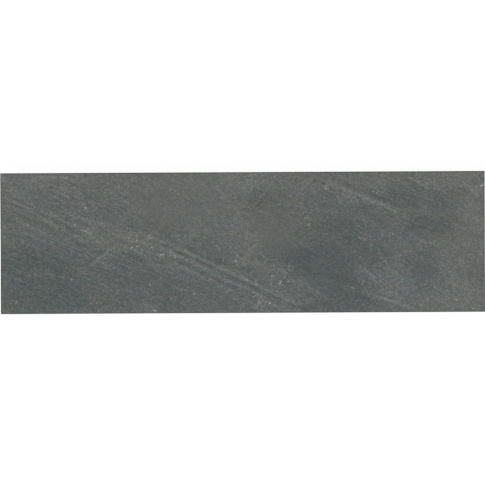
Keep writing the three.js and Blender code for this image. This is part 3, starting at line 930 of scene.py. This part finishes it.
# %% Sawn slate
LAMINA = (160, 160, 1.3)  # mm along, across and through the stone
SAW_GRIT = 1.5  # mm
SAWN_TONES = ("#555a59", "#787b78")
SAW_GRIT_SHARE = 0.5
SAWN_SPAN = (0.45, 1.05)  # the laminae with their share of grit, from the darkest to the palest
sawn_slate, tree, shader = new_finish("sawn_slate", IOR=1.5, Specular_IOR_Level=0.3, Roughness=0.62)
place = node(tree, "ShaderNodeTexCoord").outputs["Object"]
at = node(tree, "ShaderNodeMapping", {"Vector": place, "Scale": [size * MM for size in LAMINA]},
          vector_type="TEXTURE").outputs[0]
layers = node(tree, "ShaderNodeTexNoise", {"Vector": at, "Scale": 1.0, "Detail": 3.0}).outputs[0]
grit = node(tree, "ShaderNodeTexNoise", {
    "Vector": place, "Scale": 1 / (SAW_GRIT * MM), "Detail": 2.0,
}).outputs[0]
mixed = node(tree, "ShaderNodeMath", {0: grit, 1: SAW_GRIT_SHARE, 2: layers},
             operation="MULTIPLY_ADD").outputs[0]
share = node(tree, "ShaderNodeMapRange", {
    "Value": mixed, "From Min": SAWN_SPAN[0], "From Max": SAWN_SPAN[1],
}).outputs[0]
dark, pale = map(linear, SAWN_TONES)
colour = node(tree, "ShaderNodeMix", {0: share, 6: dark, 7: pale}, data_type="RGBA").outputs[2]
tree.links.new(colour, shader.inputs["Base Color"])
bump = node(tree, "ShaderNodeBump", {"Height": mixed, "Strength": 0.5, "Distance": 0.15 * MM}).outputs[0]
tree.links.new(bump, shader.inputs["Normal"])
print("sawn slate with laminae of", LAMINA[2], "mm")

# %% Ground slate
SCRATCH = (120, 0.9, 5)  # mm along, across and through the stone
CLOUD = 45  # mm
GROUND_TONES = ("#626766", "#848784")
CLOUD_SHARE = 0.8
GROUND_SPAN = (0.6, 1.2)  # the scratches with their share of clouds, from the darkest to the palest
ground_slate, tree, shader = new_finish("ground_slate", IOR=1.5, Specular_IOR_Level=0.3, Roughness=0.66)
place = node(tree, "ShaderNodeTexCoord").outputs["Object"]
at = node(tree, "ShaderNodeMapping", {"Vector": place, "Scale": [size * MM for size in SCRATCH]},
          vector_type="TEXTURE").outputs[0]
lines = node(tree, "ShaderNodeTexNoise", {"Vector": at, "Scale": 1.0, "Detail": 3.0}).outputs[0]
clouds = node(tree, "ShaderNodeTexNoise", {
    "Vector": place, "Scale": 1 / (CLOUD * MM), "Detail": 5.0,
}).outputs[0]
mixed = node(tree, "ShaderNodeMath", {0: clouds, 1: CLOUD_SHARE, 2: lines},
             operation="MULTIPLY_ADD").outputs[0]
share = node(tree, "ShaderNodeMapRange", {
    "Value": mixed, "From Min": GROUND_SPAN[0], "From Max": GROUND_SPAN[1],
}).outputs[0]
dark, pale = map(linear, GROUND_TONES)
colour = node(tree, "ShaderNodeMix", {0: share, 6: dark, 7: pale}, data_type="RGBA").outputs[2]
tree.links.new(colour, shader.inputs["Base Color"])
bump = node(tree, "ShaderNodeBump", {"Height": lines, "Strength": 0.5, "Distance": 0.1 * MM}).outputs[0]
tree.links.new(bump, shader.inputs["Normal"])
print("ground slate with scratches", SCRATCH[1], "mm wide")

# %% [markdown]
# ## Making the slab
# The tree runs once on the blank. A live modifier would look the same, but a plain mesh is what the export
# takes, so the result becomes one, and stands for the packed slab.

# %% Riven slab
work = bpy.data.objects.new("riving", blank)
bpy.context.scene.collection.objects.link(work)
modifier = work.modifiers.new("riving", "NODES")
modifier.node_group = relief
settings = {
    "Cleavage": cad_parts["slab"], **guides, "Seed": SEED, **RELIEF_SIZES,
    "Riven finish": riven_slate, "Sawn finish": sawn_slate, "Ground finish": ground_slate,
}
sockets = {item.name: item.identifier for item in slots.items_tree if item.in_out == "INPUT"}
for name, value in settings.items():
    modifier[sockets[name]] = value
now = bpy.context.evaluated_depsgraph_get()
riven = work.evaluated_get(now)
mesh = bpy.data.meshes.new_from_object(riven, preserve_all_data_layers=True, depsgraph=now)
for helper in (work, *guides.values()):
    bpy.data.objects.remove(helper)
slab = bpy.data.objects.new("riven_slab", mesh)
bpy.context.scene.collection.objects.link(slab)
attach(slab, "root")
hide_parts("slab")
top = max(point.co.z for point in mesh.vertices)
print(f"slab: {sum(len(face.vertices) - 2 for face in mesh.polygons)} triangles, top at {top / MM:.2f} mm")

# %% [markdown]
# ## Floor and light
# The slab lies on a white table that glows a little, so that no shadow is left round it, as in the
# photograph. A white room gives even light, and one broad soft lamp on the near side grazes the ridges. A
# sun lamp would graze them too, but with hard shadows.

# %% Floor
FLOOR_HALF = 4.0  # metres
FLOOR_GAP = 0.1 * MM
floor_mesh = bpy.data.meshes.new("floor")
corners = [(x * FLOOR_HALF, y * FLOOR_HALF, -FLOOR_GAP) for x, y in ((-1, -1), (1, -1), (1, 1), (-1, 1))]
floor_mesh.from_pydata(corners, [], [range(4)])
floor = bpy.data.objects.new("floor", floor_mesh)
bpy.context.scene.collection.objects.link(floor)
white, tree, shader = new_finish("white_table", Base_Color=linear("#595959"), Roughness=0.9,
                                 Emission_Color=linear("#ffffff"), Emission_Strength=0.93)
floor_mesh.materials.append(white)
print("floor", 2 * FLOOR_HALF, "m wide")

# %% Light
ROOM_LIGHT = 0.625
LAMP_WATTS = 26.0
LAMP_SIDE = 1.2  # metres
LAMP_PLACE = (-0.7, -1.7, 1.5)  # metres
room = bpy.data.worlds.new("white_room")
bpy.context.scene.world = room
room.use_nodes = True
room.node_tree.nodes.clear()
glow = node(room.node_tree, "ShaderNodeBackground", {"Color": linear("#ffffff"), "Strength": ROOM_LIGHT})
node(room.node_tree, "ShaderNodeOutputWorld", {"Surface": glow.outputs[0]})
lamp = bpy.data.objects.new("lamp", bpy.data.lights.new("lamp", "AREA"))
lamp.data.energy = LAMP_WATTS
lamp.data.size = LAMP_SIDE
lamp.location = LAMP_PLACE
lamp.rotation_euler = (-lamp.location).to_track_quat("-Z", "Y").to_euler()
bpy.context.scene.collection.objects.link(lamp)
bpy.context.scene.view_settings.view_transform = "Standard"
print(f"lamp {lamp.location.length:.2f} m from the slab, {LAMP_WATTS:.0f} W")
